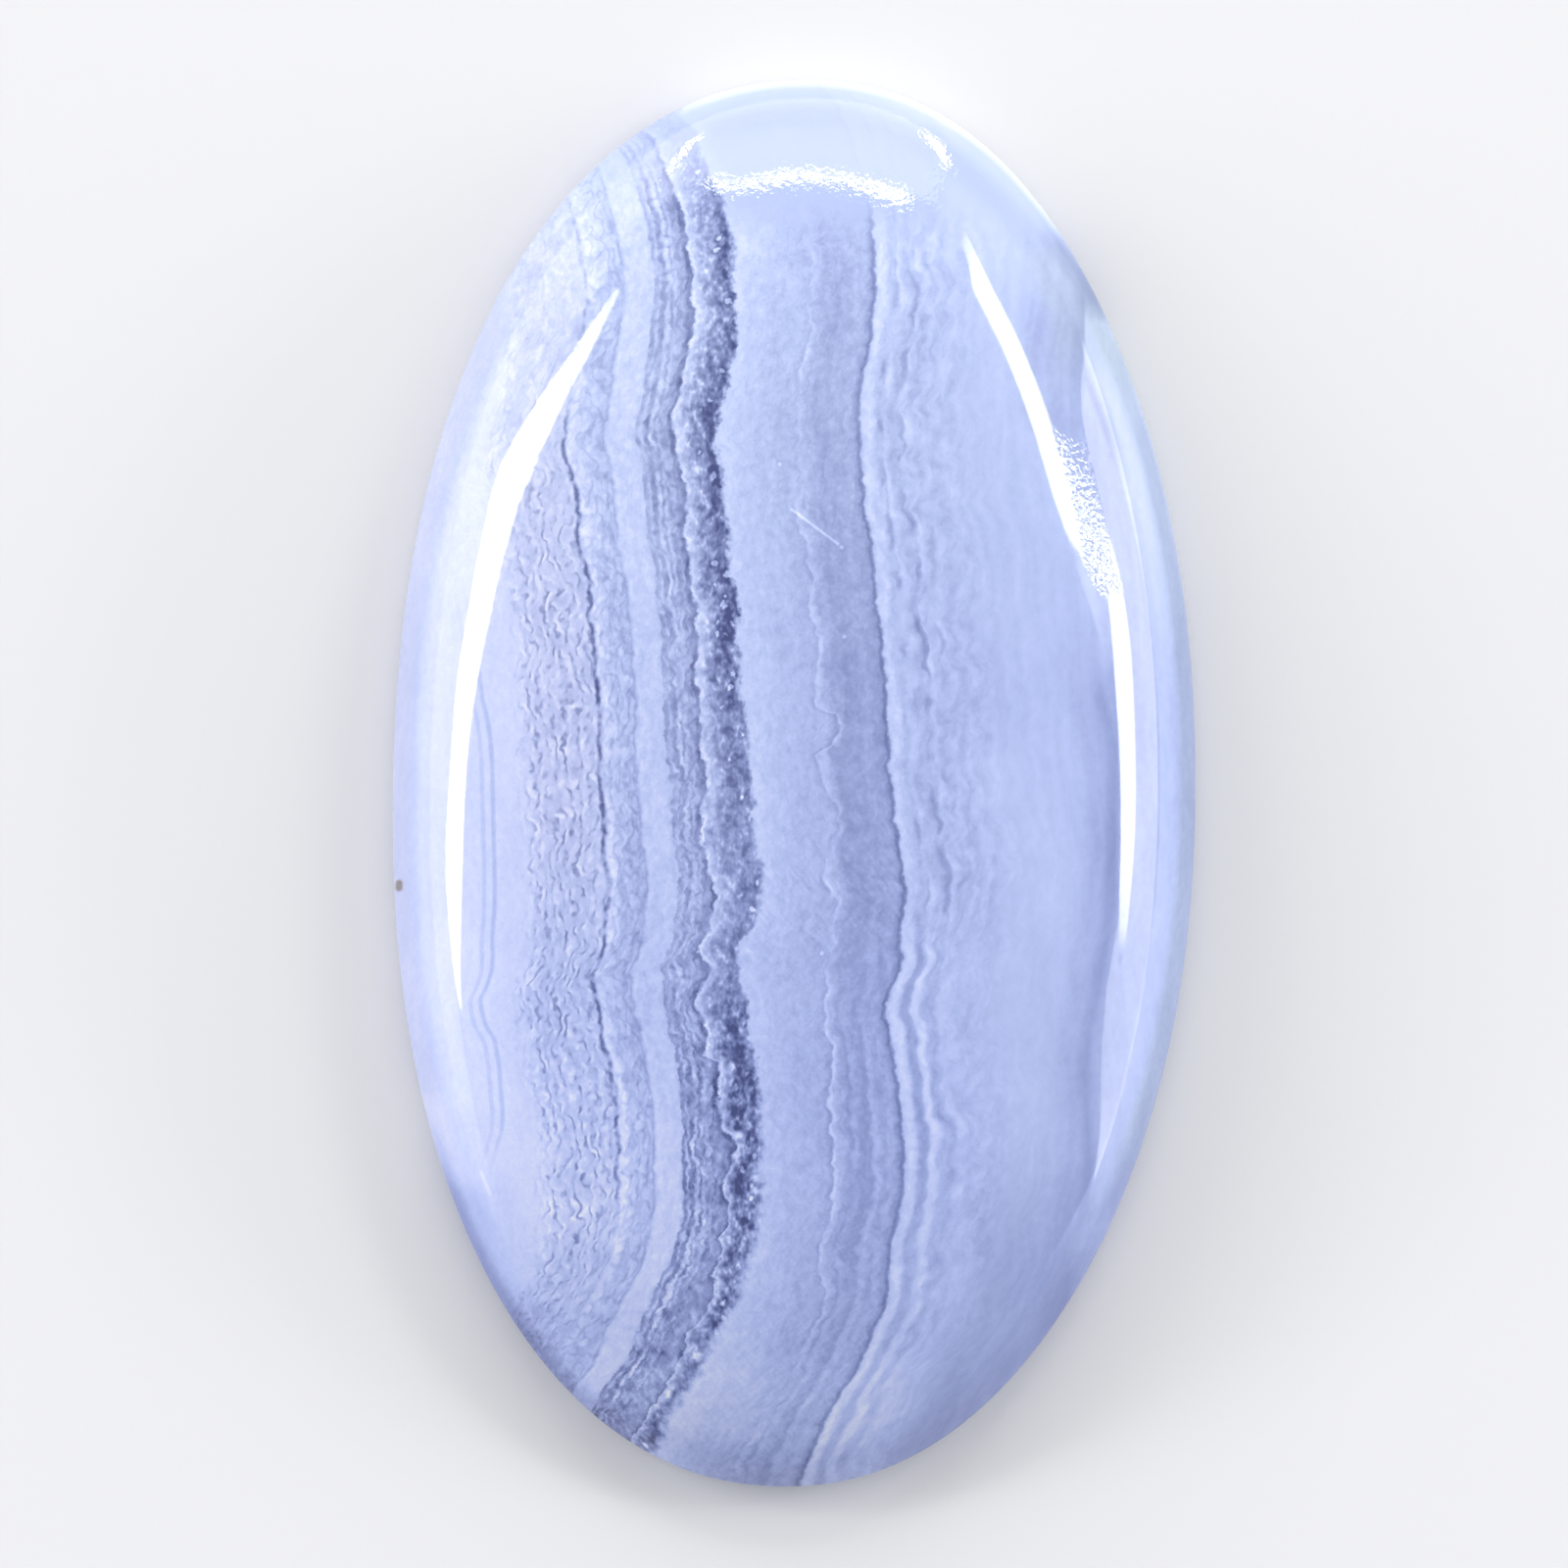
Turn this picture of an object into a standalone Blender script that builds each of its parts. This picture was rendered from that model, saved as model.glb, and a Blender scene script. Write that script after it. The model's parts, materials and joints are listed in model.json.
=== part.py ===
"""Oval cabochon of blue lace agate: one polished stone with a flat back, a low girdle and an even dome.

The back lies on the XY plane, the long axis is +Y and the dome rises along +Z.
"""

import math

import bmesh
import bpy
from mathutils import Vector

MM = 0.001

# Driving dimensions of the stone, in millimetres
LENGTH = 48.0
WIDTH = 27.4
THICKNESS = 7.0
GIRDLE_TOP = 1.3
BACK_BEVEL = 0.4

# The outline is a little squarer than an ellipse, whose exponent is 2
FULLNESS = 2.2
# Low waves that hand grinding leaves in the outline: waves round the stone, cosine and sine share
GRINDING_WAVES = ((3, 0.0015, -0.0026), (4, 0.0063, -0.0021), (5, 0.0022, -0.0011))

# The dome is an elliptical arc from the crown to this angle, where it meets the girdle with a faint edge
SHOULDER_ANGLE = math.radians(78)

# How finely the solid is cut into faces
OUTLINE_STEPS = 120
DOME_STEPS = 19
# A net of four-sided faces closes the crown in place of this many inner rings, which would crowd at the axis
NET_STEPS = 6
# The net is evened out together with the rings inside this share of the way to the girdle
EVENED_SHARE = 0.72
EVENING_PASSES = 60
EVENING_STRENGTH = 0.5
# Edges that turn by more than this stay crisp in the shading, as the girdle's edges do
CRISP_EDGE = math.radians(35)
# Room for rounding, in metres and as a share of one step of the outline
NO_DISTANCE = 1e-9
STEP_SLACK = 1e-6


def outline_reach(angle):
    """Distance from the centre to the outline of a stone whose half width and half length are both 1."""
    squareness = abs(math.cos(angle)) ** FULLNESS + abs(math.sin(angle)) ** FULLNESS
    waves = sum(c * math.cos(n * angle) + s * math.sin(n * angle) for n, c, s in GRINDING_WAVES)
    return (1 + waves) / squareness ** (1 / FULLNESS)


def outline():
    """The widest outline, seen from above, as points in millimetres that exactly fill WIDTH and LENGTH."""
    angles = [math.tau * step / OUTLINE_STEPS for step in range(OUTLINE_STEPS)]
    unit = [(outline_reach(a) * math.cos(a), outline_reach(a) * math.sin(a)) for a in angles]
    low_x, high_x = min(x for x, _ in unit), max(x for x, _ in unit)
    low_y, high_y = min(y for _, y in unit), max(y for _, y in unit)
    centre_x, centre_y = (low_x + high_x) / 2, (low_y + high_y) / 2
    stretch_x, stretch_y = WIDTH / (high_x - low_x), LENGTH / (high_y - low_y)
    return [((x - centre_x) * stretch_x, (y - centre_y) * stretch_y) for x, y in unit]


def dome_height(share):
    """Height of the dome above the back, where share is 0 at the crown and 1 at the girdle."""
    arc = math.asin(min(1.0, share) * math.sin(SHOULDER_ANGLE))
    lowest = math.cos(SHOULDER_ANGLE)
    rise = THICKNESS - GIRDLE_TOP
    return GIRDLE_TOP + rise * (math.cos(arc) - lowest) / (1 - lowest)


def extrude_ring(mesh, face, from_share, to_share, lift):
    """Extrudes the top face upwards by lift, and resizes it about the stone's axis."""
    is_back = all(edge.is_boundary for edge in face.edges)
    made = bmesh.ops.extrude_face_region(mesh, geom=[face])["geom"]
    if not is_back:
        bmesh.ops.delete(mesh, geom=[face], context="FACES_ONLY")
    ring = [v for v in made if isinstance(v, bmesh.types.BMVert)]
    resize = to_share / from_share
    bmesh.ops.scale(mesh, vec=(resize, resize, 1), verts=ring)
    bmesh.ops.translate(mesh, vec=(0, 0, lift * MM), verts=ring)
    return next(f for f in made if isinstance(f, bmesh.types.BMFace))


def faces_an_end(edge):
    """Whether an edge round the axis looks towards a narrow end of the stone, rather than a long side."""
    middle = (edge.verts[0].co + edge.verts[1].co) / 2
    return abs(middle.y) / LENGTH > abs(middle.x) / WIDTH


def close_crown(mesh, face):
    """Swaps the last flat face for a net of four-sided faces that spans from narrow end to narrow end."""
    ends = [edge for edge in face.edges if faces_an_end(edge)]
    bmesh.ops.delete(mesh, geom=[face], context="FACES_ONLY")
    bmesh.ops.grid_fill(mesh, edges=ends)


def share_of_outline(point, corners):
    """How far a point lies from the axis, as a share of the way to the outline in its direction."""
    flat = Vector((point.x, point.y))
    if flat.length < NO_DISTANCE:
        return 0.0
    towards = flat.normalized()
    for start, end in zip(corners, corners[1:] + corners[:1]):
        edge = end - start
        across = towards.cross(edge)
        along = start.cross(towards) / across
        reach = start.cross(edge) / across
        if reach > 0 and -STEP_SLACK <= along <= 1 + STEP_SLACK:
            return flat.length / reach
    raise ValueError("the outline doesn't go all the way round")


def even_out_crown(mesh, corners):
    """Spreads the crown's faces evenly as seen from above, and puts their corners back on the dome."""
    crown = [v for v in mesh.verts if v.co.z > dome_height(EVENED_SHARE) * MM]
    for _ in range(EVENING_PASSES):
        bmesh.ops.smooth_vert(mesh, verts=crown, factor=EVENING_STRENGTH, use_axis_x=True, use_axis_y=True)
    for corner in crown:
        corner.co.z = dome_height(share_of_outline(corner.co, corners)) * MM


def agate_material():
    """The stone's mean colour and its high polish."""
    material = bpy.data.materials.new("blue_lace_agate")
    material.use_nodes = True
    surface = material.node_tree.nodes["Principled BSDF"]
    surface.inputs["Base Color"].default_value = (0.50, 0.55, 0.84, 1)
    surface.inputs["Metallic"].default_value = 0.0
    surface.inputs["Roughness"].default_value = 0.06
    surface.inputs["IOR"].default_value = 1.54
    material.diffuse_color = (0.50, 0.55, 0.84, 1)
    return material


def cabochon():
    """The whole stone, extruded ring by ring from its back."""
    mesh = bmesh.new()
    widest = [Vector((x * MM, y * MM)) for x, y in outline()]
    back_share = 1 - BACK_BEVEL / (WIDTH / 2)
    top = mesh.faces.new([mesh.verts.new((*(corner * back_share), 0)) for corner in widest])

    top = extrude_ring(mesh, top, back_share, 1, BACK_BEVEL)
    top = extrude_ring(mesh, top, 1, 1, GIRDLE_TOP - BACK_BEVEL)
    share = 1.0
    for step in range(DOME_STEPS - 1, NET_STEPS - 1, -1):
        arc = SHOULDER_ANGLE * step / DOME_STEPS
        next_share = math.sin(arc) / math.sin(SHOULDER_ANGLE)
        lift = dome_height(next_share) - dome_height(share)
        top = extrude_ring(mesh, top, share, next_share, lift)
        share = next_share
    close_crown(mesh, top)
    even_out_crown(mesh, widest)

    bmesh.ops.recalc_face_normals(mesh, faces=mesh.faces)
    data = bpy.data.meshes.new("cabochon")
    mesh.to_mesh(data)
    mesh.free()
    data.shade_smooth()
    data.set_sharp_from_angle(angle=CRISP_EDGE)
    data.materials.append(agate_material())
    stone = bpy.data.objects.new("cabochon", data)
    bpy.context.scene.collection.objects.link(stone)
    return stone


for leftover in list(bpy.data.objects):
    bpy.data.objects.remove(leftover)
cabochon()
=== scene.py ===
# %% [markdown]
# # A blue lace agate cabochon
# The real object is one piece of banded agate, sawn to a slab, ground to a long oval and polished
# to a dome. There is nothing to assemble, so this lesson is about two things: a surface smooth
# enough for a mirror polish, and a stone whose growth bands run right through it as a 3-D pattern.
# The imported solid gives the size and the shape, and everything here is fitted to it.

# %% The frame
import json
import math

import bpy
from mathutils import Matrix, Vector

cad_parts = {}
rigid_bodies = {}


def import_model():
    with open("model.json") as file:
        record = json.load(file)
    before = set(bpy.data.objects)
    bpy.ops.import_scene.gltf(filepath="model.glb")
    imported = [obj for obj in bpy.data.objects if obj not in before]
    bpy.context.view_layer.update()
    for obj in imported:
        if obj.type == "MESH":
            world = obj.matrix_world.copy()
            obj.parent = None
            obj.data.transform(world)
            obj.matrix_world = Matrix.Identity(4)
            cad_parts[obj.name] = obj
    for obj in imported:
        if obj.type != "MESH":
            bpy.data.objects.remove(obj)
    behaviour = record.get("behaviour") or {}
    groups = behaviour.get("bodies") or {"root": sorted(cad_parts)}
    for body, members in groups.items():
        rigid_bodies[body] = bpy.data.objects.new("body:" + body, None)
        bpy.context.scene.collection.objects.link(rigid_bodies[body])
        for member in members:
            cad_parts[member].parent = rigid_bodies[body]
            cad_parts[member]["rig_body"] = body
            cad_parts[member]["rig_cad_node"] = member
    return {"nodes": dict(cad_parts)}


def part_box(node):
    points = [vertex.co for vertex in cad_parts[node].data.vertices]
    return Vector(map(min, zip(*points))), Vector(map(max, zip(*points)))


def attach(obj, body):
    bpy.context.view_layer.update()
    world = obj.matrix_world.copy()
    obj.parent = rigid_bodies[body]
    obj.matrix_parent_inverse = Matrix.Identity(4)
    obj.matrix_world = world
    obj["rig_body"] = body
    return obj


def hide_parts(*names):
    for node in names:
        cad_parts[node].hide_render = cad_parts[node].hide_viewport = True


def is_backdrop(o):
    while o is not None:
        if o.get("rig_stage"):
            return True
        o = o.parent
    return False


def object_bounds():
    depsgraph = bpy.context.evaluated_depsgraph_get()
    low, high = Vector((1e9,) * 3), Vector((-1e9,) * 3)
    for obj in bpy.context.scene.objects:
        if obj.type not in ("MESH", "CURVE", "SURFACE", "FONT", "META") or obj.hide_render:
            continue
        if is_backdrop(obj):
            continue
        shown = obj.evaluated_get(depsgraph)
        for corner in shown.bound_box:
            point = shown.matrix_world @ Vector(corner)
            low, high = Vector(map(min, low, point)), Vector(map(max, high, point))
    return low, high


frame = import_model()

MM = 0.001
cad_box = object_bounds()
low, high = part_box("cabochon")
size_mm = (high - low) / MM
print(f"cabochon: {size_mm.x:.1f} x {size_mm.y:.1f} x {size_mm.z:.1f} mm")

# %% [markdown]
# ## The camera
# The stone was photographed standing on its narrow end, square on to the lens. It can't stand by
# itself, so here it lies on its flat back and the camera looks straight down on it. A long lens
# keeps the oval free of distortion. The camera is turned a little, because the stone leans by
# about one degree in the picture, and it is moved a little, because the stone isn't quite central.

# %% Looking straight down
PICTURE_WIDTH = 53.47 * MM
LENS_HEIGHT = 200 * MM
GIRDLE_TOP = 1.3 * MM
LEAN = math.radians(1.04)
OFF_CENTRE = Vector((-0.357, -0.027)) * MM
SENSOR = 36.0

camera_data = bpy.data.cameras.new("camera")
camera_data.sensor_width = SENSOR
camera_data.lens = SENSOR * LENS_HEIGHT / PICTURE_WIDTH
camera_data.clip_start = 0.01
camera = bpy.data.objects.new("camera", camera_data)
camera.location = (OFF_CENTRE.x, OFF_CENTRE.y, GIRDLE_TOP + LENS_HEIGHT)
camera.rotation_euler = (0, 0, LEAN)
bpy.context.scene.collection.objects.link(camera)
bpy.context.scene.camera = camera
print(f"a lens of {camera_data.lens:.0f} mm, {LENS_HEIGHT / MM:.0f} mm above the girdle")

# %% [markdown]
# ## The stage
# A plain pale floor and a plain pale world. The world is the even fill light of a white room.
# The Standard view transform shows colours as they are, which suits a pale, clean stone.

# %% Floor and world
FLOOR_REACH = 1.75
FLOOR_CORNERS = 96
FLOOR_COLOUR = (0.74, 0.74, 0.75, 1)
ROOM_COLOUR = (0.93, 0.95, 1.0, 1)
ROOM_LIGHT = 0.55
bpy.ops.object.select_all(action="DESELECT")
bpy.ops.mesh.primitive_circle_add(
    vertices=FLOOR_CORNERS, radius=FLOOR_REACH, fill_type="NGON", location=(0, 0, 0))
floor = bpy.context.active_object
floor.name = "floor"
floor_paint = bpy.data.materials.new("floor_paint")
floor_paint.use_nodes = True
floor_surface = floor_paint.node_tree.nodes["Principled BSDF"]
floor_surface.inputs["Base Color"].default_value = FLOOR_COLOUR
floor_surface.inputs["Roughness"].default_value = 0.85
floor_surface.inputs["Specular IOR Level"].default_value = 0.2
floor.data.materials.append(floor_paint)
floor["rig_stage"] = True

world = bpy.data.worlds.new("pale_room")
world.use_nodes = True
world.node_tree.nodes["Background"].inputs["Color"].default_value = ROOM_COLOUR
world.node_tree.nodes["Background"].inputs["Strength"].default_value = ROOM_LIGHT
bpy.context.scene.world = world
bpy.context.scene.view_settings.view_transform = "Standard"
print(f"a floor of {2 * FLOOR_REACH:.1f} m and a room light of {ROOM_LIGHT}")

# %% [markdown]
# ## The lights
# A polished dome is a curved mirror. The long white streaks near its edge are the bright edges of
# windows and lamps, and the pale zones beyond them are the soft panels under those edges. So each
# light is a glowing sheet that stands on a large ring round the stone. It is given as stations
# along its length: a compass bearing, how high its lower and upper edges stand, in degrees, and
# its share of the full glow. An area lamp would also do, but it is always a plain rectangle, and
# these streaks taper and bend. The camera doesn't see the sheets themselves.

# %% A glowing sheet
LIGHT_WARMTH = (1.0, 0.99, 0.98, 1)


def on_ring(bearing, height, ring):
    """A point on a ring of lights, from its bearing, anticlockwise from +X, and its height."""
    turn, climb = math.radians(bearing), math.radians(height)
    level = math.cos(climb)
    return Vector((level * math.cos(turn), level * math.sin(turn), math.sin(climb))) * ring


def glowing_paint(name, strength):
    """A paint that glows by its strength times the sheet's own glow attribute."""
    paint = bpy.data.materials.new(name)
    paint.use_nodes = True
    tree = paint.node_tree
    tree.nodes.clear()
    shade = tree.nodes.new("ShaderNodeAttribute")
    shade.attribute_name = "glow"
    power = tree.nodes.new("ShaderNodeMath")
    power.operation = "MULTIPLY"
    power.inputs[1].default_value = strength
    lamp = tree.nodes.new("ShaderNodeEmission")
    lamp.inputs["Color"].default_value = LIGHT_WARMTH
    out = tree.nodes.new("ShaderNodeOutputMaterial")
    tree.links.new(shade.outputs["Fac"], power.inputs[0])
    tree.links.new(power.outputs[0], lamp.inputs["Strength"])
    tree.links.new(lamp.outputs[0], out.inputs["Surface"])
    return paint


def glowing_sheet(name, stations, strength, ring):
    """A sheet of light through stations of bearing, lower height, upper height and glow."""
    corners, faces, glow = [], [], []
    for bearing, lower, upper, share in stations:
        corners += [on_ring(bearing, lower, ring), on_ring(bearing, upper, ring)]
        glow += [share, share]
    for step in range(len(stations) - 1):
        first = 2 * step
        faces.append((first, first + 2, first + 3, first + 1))
    data = bpy.data.meshes.new(name)
    data.from_pydata(corners, [], faces)
    data.attributes.new("glow", "FLOAT", "POINT").data.foreach_set("value", glow)
    data.materials.append(glowing_paint(name, strength))
    sheet = bpy.data.objects.new(name, data)
    bpy.context.scene.collection.objects.link(sheet)
    sheet.visible_camera = False
    sheet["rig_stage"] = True
    print(f"{name}: {len(faces)} faces, strength {strength}")
    return sheet


# %% The strips
STRIP_RING = 1.5
STRIP = 13.5
TICK = 24.0
HALO = 3.6

glowing_sheet("left_strip", [
    (134, 34.3, 35.6, 0.5), (139.8, 33.4, 36.6, 1), (144.4, 31.8, 36.3, 1), (147.4, 30.0, 35.4, 1),
    (150.3, 27.8, 34.7, 1), (153, 25.6, 33.8, 1), (155.3, 23.5, 32.6, 1), (157.4, 21.2, 31.9, 1),
    (159.5, 18.8, 30.7, 1), (161.5, 17.6, 29.4, 1), (166.2, 17.2, 27.5, 1), (170.4, 16.0, 25.8, 1),
    (175.2, 13.6, 22.6, 1), (179.2, 12.2, 20.0, 1), (182.8, 10.0, 18.8, 1), (185, 9.6, 17.9, 1),
    (187.6, 10.2, 16.5, 1), (190.8, 11.0, 13.8, 1), (193, 11.8, 12.8, 0.6)], STRIP, STRIP_RING)
glowing_sheet("right_strip", [
    (53, 27.5, 31.0, 0), (49.5, 29.2, 33.4, 0.7), (47, 30.4, 36.6, 1), (43, 31.1, 36.9, 1),
    (38, 30.9, 36.6, 1), (33, 30.4, 36.3, 1), (28, 29.8, 35.9, 1), (24.2, 29.2, 35.5, 1),
    (22, 27.0, 35.1, 1), (20.4, 25.5, 34.4, 1), (18.6, 19.5, 33.4, 1), (16.3, 17.2, 30.9, 1),
    (14.8, 15.6, 28.2, 1), (13.5, 14.7, 24.5, 1), (12.4, 14.2, 22.4, 1), (11, 13.8, 22.4, 1),
    (8.7, 13.4, 22.3, 1), (4, 13.8, 21.6, 1), (0, 13.7, 20.8, 1), (-2.5, 13.9, 20.3, 1),
    (-5, 14.4, 20.0, 0.95), (-7.5, 14.7, 18.6, 0.75), (-10, 15.2, 17.4, 0)], STRIP, STRIP_RING)
glowing_sheet("right_halo", [
    (18, 26, 33, 0), (15, 24, 31.4, 1), (12.5, 21, 29.2, 1), (10, 21, 26.8, 0.6),
    (7, 21, 24.4, 0)], HALO, STRIP_RING)
glowing_sheet("far_strip", [
    (112, 28.0, 30.6, 1), (108.7, 31.0, 33.9, 1), (105.4, 33.6, 35.9, 1), (101.1, 34.5, 36.9, 1),
    (96.7, 34.5, 37.3, 1), (92.9, 34.1, 37.3, 1), (89.8, 34.2, 37.2, 1), (85.6, 34.7, 37.2, 1),
    (81, 34.4, 37.3, 1), (76, 34.2, 37.6, 1), (72, 33.4, 37.4, 1), (68.3, 31.9, 36.3, 1),
    (66, 31.4, 34.2, 1)], STRIP, STRIP_RING)
glowing_sheet("far_left_tick", [
    (118.5, 16.9, 19.9, 1), (116.3, 14.0, 16.7, 1), (114.4, 11.9, 14.1, 1), (112.7, 10.1, 12.1, 1),
    (111.4, 9.6, 11.4, 1)], TICK, STRIP_RING)
glowing_sheet("far_right_tick", [
    (66.3, 3.0, 5.4, 1), (63, 2.4, 8.5, 1), (60.8, 4.4, 11.8, 1), (59.2, 10.0, 15.0, 1)],
    TICK, STRIP_RING)

# %% [markdown]
# ## The panels
# The soft panels are tall sheets that stand on the floor, on a wider ring than the strips. A tall
# flat sheet cuts across the inside of its ring, so on the strips' own ring it would stand in front
# of them and hide them from the stone. The right panel's upper edge comes down to the floor at its
# far end: in the dome that end is the pale wedge at the upper right.

# %% Three soft panels
PANEL_RING = 1.66
LEFT_PANEL = 2.3
RIGHT_PANEL = 4.8
FAR_PANEL = 3.2

glowing_sheet("left_panel", [
    (132, 0, 30, 1), (150, 0, 26, 1), (170, 0, 16, 1), (190, 0, 11, 1), (210, 0, 8, 0.4)],
    LEFT_PANEL, PANEL_RING)
glowing_sheet("right_panel", [
    (29.2, 0, 0.5, 1), (28.1, 0, 4.2, 1), (27.2, 0, 9.6, 1), (26.4, 0, 12.7, 1), (25.4, 0, 14.9, 1),
    (24.5, 0, 16.3, 1), (22.3, 0, 17.8, 1), (18.9, 0, 17.7, 1), (11, 0, 17, 1), (4, 0, 17, 1),
    (-4, 0, 18, 0.95), (-9, 0, 20, 0.8), (-12, 0, 21, 0.75), (-15.7, 0, 18.9, 0.7),
    (-18.5, 0, 15, 0.75), (-22, 0, 7, 1), (-25, 0, 1, 1)], RIGHT_PANEL, PANEL_RING)
glowing_sheet("far_panel", [
    (133, 0, 24, 0.6), (124, 0, 26, 0.8), (116, 0, 28, 1), (105, 0, 34, 1), (90, 0, 35, 1),
    (75, 0, 34, 1), (60, 0, 30, 1)], FAR_PANEL, PANEL_RING)

# %% [markdown]
# ## The stone's surface
# The solid is a faceted one, with flats about a millimetre wide. A mirror polish would show every
# one of them. So the stone is a copy of the solid whose doubled corners are merged and whose
# triangles are joined to four-sided faces. Two levels of subdivision then round it, and creases
# keep the girdle's two edges and the edge of the flat back where they are.

# %% A smooth copy of the solid
MERGE = 0.00001
FLAT = math.radians(0.1)
LARGEST_BEND = math.radians(20)
LARGEST_SKEW = math.radians(60)
bpy.ops.object.select_all(action="DESELECT")
node = frame["nodes"]["cabochon"]
node.select_set(True)
bpy.context.view_layer.objects.active = node
bpy.ops.object.duplicate()
stone = bpy.context.active_object
stone.name = "polished_stone"
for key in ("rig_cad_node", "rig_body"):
    del stone[key]
stone.parent = None
bpy.ops.object.mode_set(mode="EDIT")
bpy.ops.mesh.select_all(action="SELECT")
bpy.ops.mesh.remove_doubles(threshold=MERGE)
bpy.ops.mesh.dissolve_limited(angle_limit=FLAT)
bpy.ops.mesh.tris_convert_to_quads(face_threshold=LARGEST_BEND, shape_threshold=LARGEST_SKEW)
bpy.ops.mesh.customdata_custom_splitnormals_clear()
bpy.ops.object.mode_set(mode="OBJECT")
sides = {}
for face in stone.data.polygons:
    sides[len(face.vertices)] = sides.get(len(face.vertices), 0) + 1
print(f"merged and joined: {len(stone.data.vertices)} corners, faces by number of sides {sides}")

# %% Creases and rounding
RINGS_MM = (0.0, 0.4, 1.3)
RING_SLACK = 0.01 * MM
EDGE_CREASE = 0.9
ROUNDING_LEVELS = 2
SHARPEST_SMOOTH = math.radians(35)
creases = stone.data.attributes.new("crease_edge", "FLOAT", "EDGE")
ring_edges = 0
for edge in stone.data.edges:
    heights = [stone.data.vertices[corner].co.z for corner in edge.vertices]
    for ring in RINGS_MM:
        if all(abs(height - ring * MM) < RING_SLACK for height in heights):
            creases.data[edge.index].value = EDGE_CREASE
            ring_edges += 1
rounding = stone.modifiers.new("rounding", "SUBSURF")
rounding.levels = ROUNDING_LEVELS
rounding.render_levels = ROUNDING_LEVELS
bpy.ops.object.modifier_apply(modifier=rounding.name)
bpy.ops.object.shade_smooth_by_angle(angle=SHARPEST_SMOOTH)
print(f"{stone.name}: {ring_edges} creased edges, {len(stone.data.polygons)} faces")

# %% [markdown]
# ## Agate as a 3-D pattern
# Agate grew in layers from the wall of a hollow in the rock. Each layer is one colour, and each
# copies the bumps of the one before. Sawing and grinding only cut through them. So the colour isn't
# painted on: it is a number that varies through the stone, worked out from the place inside it.
# Places are in millimetres, from the stone's own Object coordinates.
#
# Node trees are long to write out. The small class below lets a script write them as formulas:
# a Field is one output of a node, and adding two fields makes the Math node that adds them.

# %% Fields and formulas
agate = bpy.data.materials.new("blue_lace_agate")
agate.use_nodes = True
tree = agate.node_tree


def feed(socket, value):
    """Gives a node's input a plain value, or links it to a field."""
    if isinstance(value, Field):
        tree.links.new(value.socket, socket)
    else:
        socket.default_value = value


def calc(operation, *values):
    """A field made by one Math node."""
    node = tree.nodes.new("ShaderNodeMath")
    node.operation = operation
    for socket, value in zip(node.inputs, values):
        feed(socket, value)
    return Field(node.outputs[0])


class Field:
    """A number that varies through the stone."""

    def __init__(self, socket):
        self.socket = socket

    def __add__(self, other):
        return calc("ADD", self, other)

    def __radd__(self, other):
        return calc("ADD", other, self)

    def __sub__(self, other):
        return calc("SUBTRACT", self, other)

    def __rsub__(self, other):
        return calc("SUBTRACT", other, self)

    def __mul__(self, other):
        return calc("MULTIPLY", self, other)

    def __rmul__(self, other):
        return calc("MULTIPLY", other, self)

    def __truediv__(self, other):
        return calc("DIVIDE", self, other)


print("fields can be added, subtracted, multiplied and divided")

# %% [markdown]
# ## Ways to vary a field
# A noise gives soft hills. Cells give the distance to the nearest of many random points, which
# makes rounded knobs, and a random number for each of them. A ramp turns a field into a share from
# 0 to 1. A curve gives any profile at all: it is how the colours of the bands are listed, from one
# wall of the old hollow to the other.

# %% Noise, cells, ramps and curves
NOISE_SPREAD = 3.0


def place(across, up, deep):
    """A point for a texture, from three fields or numbers."""
    node = tree.nodes.new("ShaderNodeCombineXYZ")
    for socket, value in zip(node.inputs, (across, up, deep)):
        feed(socket, value)
    return Field(node.outputs[0])


def noise(point, detail=0.0, roughness=0.5):
    """Smooth random hills, mostly between -1 and 1 and about one unit wide."""
    node = tree.nodes.new("ShaderNodeTexNoise")
    node.inputs["Scale"].default_value = 1.0
    node.inputs["Detail"].default_value = detail
    node.inputs["Roughness"].default_value = roughness
    feed(node.inputs["Vector"], point)
    return (Field(node.outputs["Fac"]) - 0.5) * NOISE_SPREAD


def cells(point):
    """The distance to the nearest of random points about one unit apart, and its random number."""
    node = tree.nodes.new("ShaderNodeTexVoronoi")
    node.inputs["Scale"].default_value = 1.0
    feed(node.inputs["Vector"], point)
    return Field(node.outputs["Distance"]), Field(node.outputs["Color"])


def ramp_up(field, start, end):
    """Goes smoothly from 0 to 1 as the field goes from start to end."""
    node = tree.nodes.new("ShaderNodeMapRange")
    node.interpolation_type = "SMOOTHSTEP"
    feed(node.inputs["Value"], field)
    feed(node.inputs["From Min"], start)
    feed(node.inputs["From Max"], end)
    return Field(node.outputs["Result"])


def follow(field, points, straight=False):
    """A curve through points of (place, value), held level beyond its ends."""
    ordered = sorted(points)
    first, last = ordered[0][0], ordered[-1][0]
    values = [value for _, value in ordered]
    least, span = min(values), max(values) - min(values)
    share = tree.nodes.new("ShaderNodeMapRange")
    feed(share.inputs["Value"], field)
    share.inputs["From Min"].default_value = first
    share.inputs["From Max"].default_value = last
    node = tree.nodes.new("ShaderNodeFloatCurve")
    line = node.mapping.curves[0]
    while len(line.points) < len(ordered):
        line.points.new(0.5, 0.5)
    for point, (where, value) in zip(line.points, ordered):
        point.location = ((where - first) / (last - first), (value - least) / span)
        point.handle_type = "VECTOR" if straight else "AUTO_CLAMPED"
    node.mapping.update()
    tree.links.new(share.outputs["Result"], node.inputs["Value"])
    return Field(node.outputs["Value"]) * span + least


print("noise, cells, ramps and curves are ready")

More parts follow.
